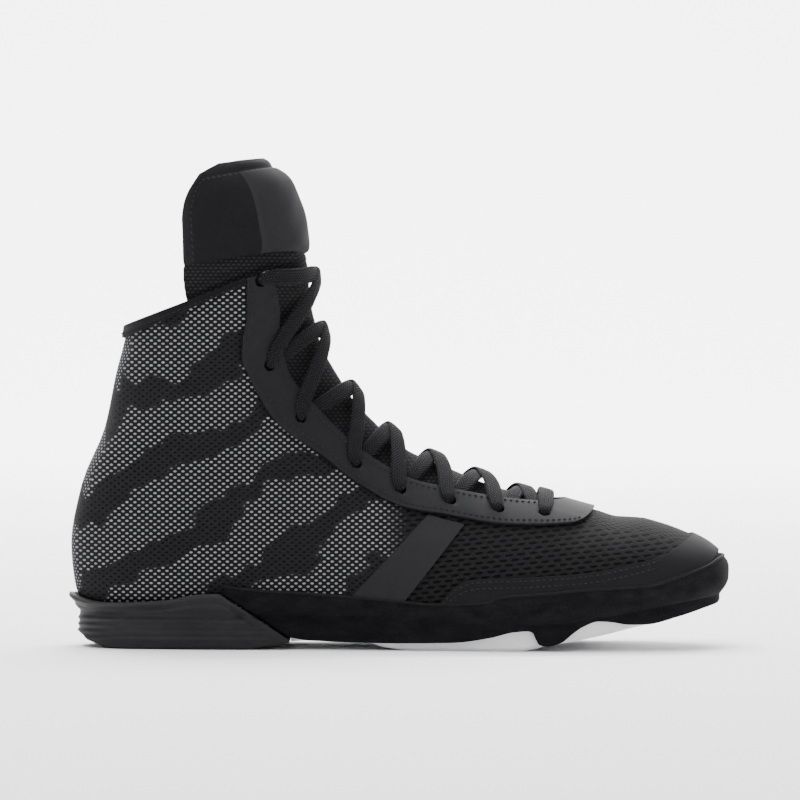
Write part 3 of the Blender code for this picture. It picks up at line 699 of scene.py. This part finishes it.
def lace_meshes():
    """Bottom bar, a low pair of crossings, then two tapes for each further step between holes."""
    work = bmesh.new()
    over = EYESTAY_THICKNESS + 3 * GAP
    in_hole = (-0.002, 0.0035)
    at_hole = (over, 0.0045)
    row, turn = EYELETS[0]
    hole = radians(turn)
    half = [(row, hole, *in_hole), (row, hole * 0.97, *at_hole), (row, hole * 0.7, over + 0.0005, 0.0068)]
    mirrored = [(place[0], -place[1], *place[2:]) for place in half]
    tape_mesh(work, mirrored + [(row, 0.0, over + 0.0004, LACE_WIDTH)] + half[::-1])
    edge = radians(smooth_table(THROAT_EDGE, 9.2))
    for side in (-1, 1):
        raised = 0.0007 if side > 0 else 0.0021
        tape_mesh(work, [
            (9.0, side * edge * 1.2, -0.0015, 0.006), (9.15, side * edge * 0.9, 0.0002, 0.0065),
            (9.4, 0.0, raised - 0.0006, LACE_WIDTH), (9.7, -side * edge * 0.95, 0.0002, 0.0065),
            (9.8, -side * edge * 1.3, -0.0015, 0.006),
        ])
    top_row, top_turn = EYELETS[-1]
    for (row, turn), (next_row, _turn) in zip(EYELETS[1:], EYELETS[2:]):
        climb = next_row - row
        start = radians(turn)
        near = radians(smooth_table(THROAT_EDGE, row))
        far = radians(smooth_table(THROAT_EDGE, min(next_row, 23)))
        for side in (-1, 1):
            raised = 0.0009 if side > 0 else 0.0023
            places = [
                (row, side * start, *in_hole), (row + 0.02, side * start * 0.985, *at_hole),
                (row + climb * 0.10, side * (start * 0.35 + near * 0.65), over + 0.0005, 0.0066),
                (row + climb * 0.22, side * near * 0.6, over + 0.0002, LACE_WIDTH),
                (row + climb * 0.45, 0.0, raised, LACE_WIDTH),
            ]
            if next_row == top_row:
                end = -side * radians(top_turn)
                places += [
                    (row + climb * 0.72, -side * far * 0.55, over, LACE_WIDTH),
                    (next_row - 0.12, -side * far * 0.97, over + 0.0005, 0.0066),
                    (next_row, end * 0.985, *at_hole), (next_row, end, *in_hole),
                ]
            else:
                places += [
                    (row + climb * 0.68, -side * far * 0.6, 0.0012, LACE_WIDTH),
                    (row + climb * 0.85, -side * far * 0.97, 0.0, 0.0066),
                    (next_row - 0.05, -side * far * 1.12, -0.0018, 0.006),
                ]
            tape_mesh(work, places)
    bmesh.ops.recalc_face_normals(work, faces=work.faces)
    return work


def stitch_mesh(work, route, pitch=0.0026, long=0.0017, radius=0.00032):
    """Short raised stitches along (row, angle, lift) places."""
    points = [lifted(row, angle, lift) for row, angle, lift in route]
    normals = [last_normal(row, angle) for row, angle, _lift in route]
    steps = [float(np.linalg.norm(b - a)) for a, b in zip(points, points[1:])]
    total = sum(steps)
    at = pitch / 2
    while at < total - long:
        ends = []
        for place in (at - long / 2, at + long / 2):
            k = 0
            left = place
            while k < len(steps) - 1 and left > steps[k]:
                left -= steps[k]
                k += 1
            share = left / steps[k] if steps[k] else 0.0
            ends.append((points[k] * (1 - share) + points[k + 1] * share, normals[k]))
        ahead = (ends[1][0] - ends[0][0]) / long
        across = np.cross(ends[0][1], ahead) * radius
        rise = ends[0][1] * radius
        middle = (ends[0][0] + ends[1][0]) / 2 + rise
        tips = [work.verts.new(ends[0][0]), work.verts.new(ends[1][0])]
        ring = [work.verts.new(middle + v) for v in (across, rise, -across, -rise)]
        for j in range(4):
            work.faces.new((tips[0], ring[(j + 1) % 4], ring[j]))
            work.faces.new((tips[1], ring[j], ring[(j + 1) % 4]))
        at += pitch


def stitches():
    """Stitch rows: along both edges of the facing, two along the mudguard's top and one at the collar."""
    work = bmesh.new()
    facing = degrees_table(EYESTAY_EDGE)
    throat = degrees_table(THROAT_EDGE)
    inset = 0.045
    collar_row = 22.84

    def sew(rows, steps, angle_of, lift):
        stitch_mesh(work, [(row, side * angle_of(row), lift) for row in refine(rows, steps)])

    for side in (-1, 1):
        lift = 2 * GAP + EYESTAY_THICKNESS
        sew([7.9, 9, 11, 14, 18, 23], 12, lambda row: facing(row, side) - inset, lift)
        sew([8.8, 10, 12, 15, 19, 22.9], 12, lambda row: throat(row, side) + inset, lift)
        for below in (0.0016, 0.0042):
            sew([5.35, 6, 7, 8, 9, 10.2, 10.7, 11.0], 10,
                lambda row: angle_at_height(row, side, OVERLAY_TOP, -below), OVERLAY_IN + PANEL_THICKNESS)
        stitch_mesh(work, [(collar_row, side * a, 2 * GAP + BINDING_THICKNESS)
                           for a in span(facing(collar_row, side) + 0.05, pi, 60)])
    return work


def piping_mesh(points, radius, sides=8):
    """A round cord along points that run level."""
    work = bmesh.new()
    rings = []
    for k, point in enumerate(points):
        ahead = (points[min(k + 1, len(points) - 1)] - points[max(k - 1, 0)]).normalized()
        across = ahead.cross(Vector((0, 0, 1))).normalized()
        up = across.cross(ahead)
        rings.append([work.verts.new(point + (across * cos(t) + up * sin(t)) * radius)
                      for t in span(0, 2 * pi, sides + 1)[:-1]])
    join_rings(work, rings, True)
    cap_ends(work, rings)
    bmesh.ops.recalc_face_normals(work, faces=work.faces)
    return work


def foxing_edge(tree):
    """Points along the suede band's top edge."""
    points = []
    lift = FOXING_IN + FOXING_THICKNESS * 0.55
    for station in foxing_stations():
        top = height_at(FOXING_TOP, feather_point(tree, station).x)
        points.append(reach(tree, station, top, lift) + Vector((0, 0, 0.0002)))
    return points


# Dot lattices: pitch across, pitch up, then the dot's half width and half height
MESH_DOTS = (0.0035, 0.00135, 0.00072, 0.00046)
NET_DOTS = (0.0022, 0.0015, 0.0007, 0.0004)
LINING_DOTS = (0.0018, 0.0013, 0.0006, 0.0004)
SIDE_HOLES = (0.0052, 0.0021, 0.0018, 0.0006)
TOP_HOLES = (0.0042, 0.0019, 0.0014, 0.0006)
BAND_PITCH = 0.031
LACE_PLAIT = 0.0016


class Shader:
    """A material with a few helpers that add its nodes."""

    def __init__(self, name):
        self.material = bpy.data.materials.new(name)
        self.material.use_nodes = True
        self.tree = self.material.node_tree
        self.out = self.tree.nodes["Principled BSDF"]
        self.place = self.node("TexCoord").outputs["Object"]
        self.x, self.y, self.z = self.split(self.place)
        self.u, self.v, _ = self.split(self.node("UVMap").outputs[0])

    def node(self, kind):
        return self.tree.nodes.new("ShaderNode" + kind)

    def put(self, socket, value):
        if isinstance(value, bpy.types.NodeSocket):
            self.tree.links.new(value, socket)
        else:
            socket.default_value = value

    def fill(self, node, values):
        for name, value in values.items():
            self.put(node.inputs[name], value)

    def split(self, vector):
        node = self.node("SeparateXYZ")
        self.put(node.inputs[0], vector)
        return node.outputs

    def math(self, operation, *values):
        node = self.node("Math")
        node.operation = operation
        for socket, value in zip(node.inputs, values):
            self.put(socket, value)
        return node.outputs[0]

    def add(self, a, b):
        return self.math("ADD", a, b)

    def less(self, a, b):
        return self.math("SUBTRACT", a, b)

    def times(self, a, b):
        return self.math("MULTIPLY", a, b)

    def step(self, value, low, high):
        node = self.node("MapRange")
        node.interpolation_type = "SMOOTHSTEP"
        self.fill(node, {"Value": value, "From Min": low, "From Max": high})
        return node.outputs[0]

    def noise(self, scale, detail=2.0, stretch=(1, 1, 1), rough=0.5):
        mapping = self.node("Mapping")
        self.fill(mapping, {"Vector": self.place, "Scale": stretch})
        node = self.node("TexNoise")
        self.fill(node, {"Vector": mapping.outputs[0], "Scale": scale, "Detail": detail, "Roughness": rough})
        return node.outputs["Fac"]

    def mix(self, factor, a, b):
        """Mix of two colours. A pair is a grey: red and green share its first value."""
        node = self.node("Mix")
        node.data_type = "RGBA"
        self.put(node.inputs[0], factor)
        for socket, colour in ((node.inputs[6], a), (node.inputs[7], b)):
            self.put(socket, (colour[0], *colour[-2:], 1) if isinstance(colour, tuple) else colour)
        return node.outputs[2]

    def blend(self, factor, a, b):
        return self.add(self.times(a, self.less(1.0, factor)), self.times(b, factor))

    def dots(self, a, b, wide, high, radius_a, radius_b):
        """Dots of a lattice whose every other row is offset by half a pitch."""
        line = self.math("DIVIDE", b, high)
        odd = self.math("MODULO", self.math("ABSOLUTE", self.math("FLOOR", line)), 2.0)
        across = self.add(self.math("DIVIDE", a, wide), self.times(odd, 0.5))
        parts = []
        for lattice, pitch, radius in ((across, wide, radius_a), (line, high, radius_b)):
            centred = self.less(self.math("FRACT", lattice), 0.5)
            part = self.math("DIVIDE", self.times(centred, pitch), radius)
            parts.append(self.times(part, part))
        return self.step(self.math("SQRT", self.add(*parts)), 1.15, 0.85)

    def bump(self, height, strength, distance):
        node = self.node("Bump")
        self.fill(node, {"Strength": strength, "Distance": distance, "Height": height})
        self.put(self.out.inputs["Normal"], node.outputs[0])

    def finish(self, colour, roughness, sheen=0.0, coat=0.0, specular=0.5):
        self.fill(self.out, {"Base Color": colour, "Roughness": roughness, "Sheen Weight": sheen,
                             "Coat Weight": coat, "Specular IOR Level": specular})
        return self.material

    def side_weights(self):
        """One where the surface faces sideways, and one where it faces fore or aft."""
        normal = self.split(self.node("NewGeometry").outputs["Normal"])
        nx, ny, nz = (self.math("ABSOLUTE", part) for part in normal)
        return self.step(ny, 0.42, 0.46), self.math("GREATER_THAN", nx, nz)


def mesh_fabric():
    """Black mesh over silver backing: light dots in slanting bands behind, long holes in front."""
    s = Shader("mesh_fabric")
    side, fore = s.side_weights()
    near, top, back = (s.dots(a, b, *MESH_DOTS) for a, b in ((s.x, s.z), (s.x, s.y), (s.y, s.z)))
    holes = s.blend(side, s.blend(fore, top, back), near)
    slant = s.less(s.times(s.z, 0.84), s.times(s.x, 0.50))
    phase = s.add(s.times(slant, 2 * pi / BAND_PITCH), s.times(s.noise(22.0, 3.0), 11.0))
    streak = s.times(s.less(s.noise(70.0, 3.0), 0.5), 2.6)
    bands = s.step(s.add(s.math("SINE", phase), streak), -0.42, -0.08)
    bands_end = s.less(s.x, s.times(s.less(s.z, 0.022), 0.85))
    light = s.times(bands, s.less(1.0, s.step(bands_end, -0.016, -0.010)))
    long_side = s.dots(s.x, s.less(s.z, s.times(s.x, 0.10)), *SIDE_HOLES)
    pits = s.blend(side, s.dots(s.x, s.y, *TOP_HOLES), long_side)
    front = s.step(s.x, -0.012, 0.004)
    speck = s.noise(900.0)
    ground = s.mix(speck, (0.003, 0.0035), (0.010, 0.011))
    knit = s.mix(speck, (0.007, 0.008), (0.016, 0.018))
    dark = s.mix(holes, knit, (0.0015, 0.0015))
    silver = s.mix(s.noise(400.0), (0.11, 0.12), (0.33, 0.34, 0.365))
    rear = s.mix(light, dark, s.mix(holes, ground, silver))
    vamp = s.mix(speck, (0.005, 0.0055), (0.013, 0.014))
    colour = s.mix(front, rear, s.mix(pits, vamp, (0.001, 0.001)))
    s.bump(s.less(s.times(speck, 0.25), s.blend(front, holes, pits)), 0.7, 0.0005)
    return s.finish(colour, 0.85, sheen=0.02, specular=0.08)


def smooth_synthetic(name, dark, pale, rough, grain):
    """Smooth coated cloth with a fine grain."""
    s = Shader(name)
    fine = s.noise(grain, 3.0)
    broad = s.noise(28.0, 3.0)
    colour = s.mix(s.add(s.times(fine, 0.6), s.times(broad, 0.4)), dark, pale)
    s.bump(fine, 0.25, 0.0002)
    return s.finish(colour, s.add(rough, s.times(broad, 0.12)), coat=0.005, specular=0.11)


def suede():
    """Black suede: a soft uneven nap."""
    s = Shader("suede")
    nap = s.noise(1400.0, 4.0, rough=0.7)
    brushed = s.noise(90.0, 4.0, (1.0, 1.0, 2.2))
    mixed = s.add(s.times(nap, 0.55), s.times(brushed, 0.45))
    colour = s.mix(s.step(mixed, 0.3, 0.72), (0.004, 0.005), (0.012, 0.014))
    s.bump(mixed, 0.55, 0.0005)
    return s.finish(colour, 0.95, sheen=0.02, specular=0.04)


def rubber(name, dark, pale, rough):
    """Moulded rubber with a faint mould texture and scuffs."""
    s = Shader(name)
    fine = s.noise(1100.0)
    scuff = s.noise(60.0, 5.0, (1.0, 1.0, 3.0), 0.65)
    colour = s.mix(s.step(scuff, 0.25, 0.8), dark, pale)
    s.bump(s.add(s.times(fine, 0.5), scuff), 0.22, 0.0003)
    return s.finish(colour, s.add(rough, s.times(scuff, 0.2)), coat=0.01, specular=0.2)


def woven_tape():
    """Woven lace: a slanting braid, mirrored about the middle of the tape."""
    s = Shader("woven_tape")
    side = s.math("ABSOLUTE", s.u)
    slope = s.add(s.times(s.v, 2 * pi / LACE_PLAIT), s.times(side, 2 * pi / 0.0014))
    across = s.math("SINE", s.times(s.u, 2 * pi / 0.0011))
    weave = s.add(s.times(s.math("SINE", slope), 0.6), s.times(across, 0.4))
    colour = s.mix(s.step(weave, -0.8, 0.9), (0.003, 0.0035), (0.014, 0.016))
    s.bump(weave, 0.6, 0.0003)
    return s.finish(colour, 0.8, sheen=0.02, specular=0.08)


def tongue_cloth():
    """Tongue: ribbed mesh below the seam, smooth jersey above with a paler strip and a stitched rim."""
    s = Shader("tongue_cloth")
    node = s.node("Attribute")
    node.attribute_name = "rim"
    rim = node.outputs["Fac"]
    side = s.side_weights()[0]
    front = s.dots(s.y, s.times(s.less(s.z, s.x), 0.7), *NET_DOTS)
    weave = s.blend(side, front, s.dots(s.x, s.z, *NET_DOTS))
    above = s.step(s.u, -0.02, 0.02)
    strip = s.times(s.step(s.v, 1.04, 1.01), above)
    welt = s.times(s.times(s.step(s.v, 0.985, 0.995), s.step(s.v, 1.055, 1.045)), above)
    band = s.times(s.step(rim, 0.0040, 0.0034), above)
    speck = s.noise(1200.0, 3.0)
    dashes = s.step(s.math("SINE", s.times(s.add(s.x, s.z), 2 * pi / 0.0028)), -0.2, 0.2)
    line = s.times(s.step(rim, 0.0036, 0.0040), s.step(rim, 0.0048, 0.0044))
    thread = s.times(line, s.times(dashes, above))
    cloth = s.mix(speck, (0.003, 0.0035), (0.008, 0.009))
    netting = s.mix(weave, cloth, (0.018, 0.020))
    colour = s.mix(above, netting, s.mix(speck, (0.004, 0.005), (0.010, 0.012)))
    colour = s.mix(strip, colour, s.mix(speck, (0.012, 0.0135), (0.020, 0.022)))
    colour = s.mix(welt, colour, (0.018, 0.020))
    colour = s.mix(band, colour, s.mix(speck, (0.008, 0.009), (0.017, 0.019)))
    colour = s.mix(thread, colour, (0.020, 0.022))
    s.bump(s.add(s.times(s.blend(above, weave, thread), 0.6), s.times(speck, 0.3)), 0.45, 0.0004)
    return s.finish(colour, 0.85, sheen=0.03, specular=0.10)


def lining():
    s = Shader("lining")
    weave = s.dots(s.x, s.z, *LINING_DOTS)
    cloth = s.mix(s.noise(700.0, 3.0), (0.012, 0.013), (0.03, 0.032))
    colour = s.mix(weave, cloth, (0.004, 0.004))
    s.bump(weave, 0.5, 0.0004)
    return s.finish(colour, 0.9, sheen=0.04, specular=0.15)


THROAT_ROWS = [8.3, 8.36, 8.42, 8.5, 8.6, 8.8, 9, 9.5] + span(10, 22, 13) + [22.5, 23]
UPPER_ROWS = [0, 0.08, 0.2, 0.35, 0.7, 1.1, 1.6, 2.2, 3, 4, 5, 6, 7, 7.6, 8.1] + THROAT_ROWS
FACING_ROWS = [7.6, 7.68, 7.85, 8.1] + THROAT_ROWS
GUARD_ROWS = [3.3, 3.7, 4.1, 4.4, 4.6, 4.7, 4.78, 4.86, 4.94, 5.02, 5.1, 5.2, 5.3, 5.45, 5.7, 6, 6.5, 7,
              8.1, 9, 10, 10.4, 10.6, 10.8, 10.95, 11.1]
TONGUE_ROWS = [7.8] + THROAT_ROWS + [23.5, 24, 25, 25.6, 26.1, 26.5, 26.75, TONGUE_TOP]


def pad_seam(angle):
    """Row of the seam under the tongue's padded top: it rises toward the back."""
    return 23.1 + 1.25 * abs(angle) / radians(114)


def rim_distance(row, angle):
    """Rough distance from the tongue's edge, round it and over its top."""
    side = (radians(smooth_table(TONGUE_EDGE, row)) - abs(angle)) * 0.034
    return min(side, (TONGUE_TOP - row) * 0.011)


def tongue_relief(row, angle):
    """Soft ribs below the seam, and above it a stuffed top with a piped rim and a raised centre strip."""
    above = row - pad_seam(angle)
    rim = rim_distance(row, angle)
    height = -0.0009 * exp(-((above / 0.10) ** 2))
    if above < 0:
        return height + (0.00022 * sin(2 * pi * row * 3.4) if row > VAMP_POINT else 0.0)
    stuffed = (1 - exp(-above / 0.22)) * (1 - exp(-max(rim - 0.003, 0.0) / 0.004))
    height += 0.0017 * stuffed + 0.0006 * exp(-(((rim - 0.0015) / 0.0012) ** 2))
    height -= 0.0006 * exp(-(((rim - 0.0036) / 0.0006) ** 2))
    turn = abs(angle)
    height += 0.0004 / (1 + exp((turn - 1.02) / 0.012))
    quilt = 0.00035 * sin(9.0 * turn + 2.1 * row) * sin(2.3 * row + 1.0)
    return height + quilt * stuffed


def carve_tongue(made):
    """Give the tongue its relief, and keep what the material reads: seam, turn and rim distance."""
    mesh = made.data
    layer = mesh.uv_layers[0].data
    rim = mesh.attributes.new("rim", "FLOAT", "POINT")
    spots = {loop.vertex_index: tuple(place.uv) for loop, place in zip(mesh.loops, layer)}
    for index, (row, angle) in spots.items():
        rim.data[index].value = rim_distance(row, angle)
        mesh.vertices[index].co += Vector(last_normal(row, angle)) * tongue_relief(row, angle)
    for place in layer:
        row, angle = place.uv
        place.uv = (row - pad_seam(angle), abs(angle))


def solid(name, work, look, nodes, soft=0.0):
    """A swept solid with softened edges."""
    made = add_piece(name, work, look, nodes)
    if soft:
        soften(made, soft, 40).harden_normals = True
    return made


def build_upper(tape):
    guard = smooth_synthetic("smooth_guard", (0.005, 0.006), (0.010, 0.0115), 0.68, 800.0)
    coated = smooth_synthetic("smooth_coated", (0.008, 0.0095), (0.013, 0.0155), 0.6, 900.0)
    panel = smooth_synthetic("matte_panel", (0.012, 0.0135), (0.020, 0.022), 0.7, 650.0)
    throat = degrees_table(THROAT_EDGE)
    facing = degrees_table(EYESTAY_EDGE)
    tree = last_tree()

    def facing_start(row, side):
        return throat(row, side) if row >= VAMP_POINT else 0.0

    def guard_top(row, side):
        return angle_at_height(row, side, OVERLAY_TOP)

    def guard_low(row, side):
        return max(angle_at_height(row, side, FOXING_TOP, -0.001), guard_top(row, side) + 0.02)

    add_shell("upper_mesh", refine(UPPER_ROWS, 4), throat, upper_low_edge, 76, 0.0, -UPPER_WALL,
              mesh_fabric(), ["upper"], 0.0, EYELET_RADIUS + 2 * GAP, lining())
    add_shell("facing", refine(FACING_ROWS, 6), facing_start, facing, 30, 2 * GAP,
              EYESTAY_THICKNESS, coated, ["eyestay"], 0.0004, EYELET_RADIUS)
    add_shell("mudguard", refine(GUARD_ROWS, 3), guard_top, guard_low, 20, OVERLAY_IN, PANEL_THICKNESS,
              guard, ["toe_overlay"], 0.0003)
    add_shell("bound_edge", span(22.76, 23.07, 6), lambda row, side: facing(row, side) + 0.01,
              lambda row, side: pi, 60, 2 * GAP + BINDING_THICKNESS,
              -(UPPER_WALL + BINDING_THICKNESS + 3 * GAP), tape, ["collar_binding"], 0.0006)
    for name, node, side in (("quarter_panel_outer", "side_panel_lateral", -1.0),
                             ("quarter_panel_inner", "side_panel_medial", 1.0)):
        solid(name, side_panel_mesh(tree, side), panel, [node], 0.0003)
    solid("suede_band", foxing_mesh(tree), suede(), ["foxing"], 0.0004)
    add_piece("suede_piping", piping_mesh(foxing_edge(tree), PIPING_RADIUS), guard)
    return tree


def build_tongue():
    edge = degrees_table(TONGUE_EDGE)
    low_rows = [row for row in TONGUE_ROWS if row <= 22]
    high_rows = [row for row in TONGUE_ROWS if row >= 22]
    rows = refine(low_rows, 4)[:-1] + refine(high_rows, 9)
    pad = add_shell("tongue_pad", rows, lambda row, side: 0.0, edge, 70, -(UPPER_WALL + GAP),
                    -TONGUE_THICKNESS, tongue_cloth(), ["tongue"], 0.0012)
    carve_tongue(pad)


def build():
    grey = rubber("grey_mould", (0.012, 0.014), (0.022, 0.024), 0.5)
    pale = rubber("pale_mould", (0.80, 0.82), (0.90, 0.92), 0.5)
    tape = woven_tape()
    thread = smooth_synthetic("thread", (0.014, 0.015), (0.026, 0.029), 0.7, 1500.0)
    tree = build_upper(tape)
    solid("heel_rubber", cup_mesh(tree), grey, ["heel_cup"])
    build_tongue()
    laces = ["lace_bar"] + [f"lace_cross_{k}" for k in range(1, 7)]
    add_piece("laces", lace_meshes(), tape, laces)
    add_piece("stitching", stitches(), thread, smooth=False)
    solid("tread_rubber", outsole_mesh(tree), pale, ["outsole"], 0.0003)
    solid("footbed", footbed_mesh(tree), lining(), ["insole"], 0.0006)


SHOE_MIDDLE = (0, 0, 0.08)
CAMERA_AWAY = 2.5
CAMERA_DOWN = 1.0
CAMERA_LENS = 256


def soft_light(name, place, size, power, aim=SHOE_MIDDLE):
    data = bpy.data.lights.new(name, "AREA")
    data.shape = "RECTANGLE"
    data.size, data.size_y = size
    data.energy = power
    lamp = linked(name, data)
    lamp.location = place
    lamp.rotation_euler = (Vector(aim) - Vector(place)).to_track_quat("-Z", "Y").to_euler()


def studio():
    """Pale sweep of paper, soft lights and the photo's camera."""
    work = bmesh.new()
    profile = [(-7.0, 0.0), (3.4, 0.0)] + [(3.4 + sin(t), 1.0 - cos(t)) for t in span(0.1, pi / 2, 14)]
    profile += [(4.4, 5.0)]
    lines = [[work.verts.new((x, y, z)) for x in (-7.0, 7.0)] for y, z in profile]
    join_rings(work, lines, False)
    paper = Shader("paper")
    colour = paper.mix(paper.noise(300.0, 3.0), (0.90, 0.90), (0.94, 0.94))
    sweep = mesh_object("paper_sweep", work, paper.finish(colour, 0.9, specular=0.1))
    soft_light("key", (-0.7, -0.9, 2.2), (1.8, 1.8), 46)
    soft_light("fill", (1.4, -1.6, 0.9), (1.4, 1.4), 12)
    soft_light("top", (0.0, 0.3, 2.0), (2.0, 1.4), 58)
    soft_light("backdrop", (0.0, 2.6, 3.4), (4.0, 1.2), 760, (0, 4.3, 0.4))
    world = bpy.data.worlds.new("studio")
    world.use_nodes = True
    sky = world.node_tree.nodes["Background"].inputs
    sky[0].default_value = (0.95, 0.97, 1.0, 1.0)
    sky[1].default_value = 0.24
    bpy.context.scene.world = world
    data = bpy.data.cameras.new("photo_camera")
    data.sensor_width = 36
    data.lens = CAMERA_LENS
    camera = linked("photo_camera", data)
    camera.location = (-0.0004, -CAMERA_AWAY, TOTAL_HEIGHT / 2 + CAMERA_AWAY * sin(radians(CAMERA_DOWN)))
    camera.rotation_euler = (radians(90 - CAMERA_DOWN), 0, 0)
    bpy.context.scene.camera = camera


build()
studio()
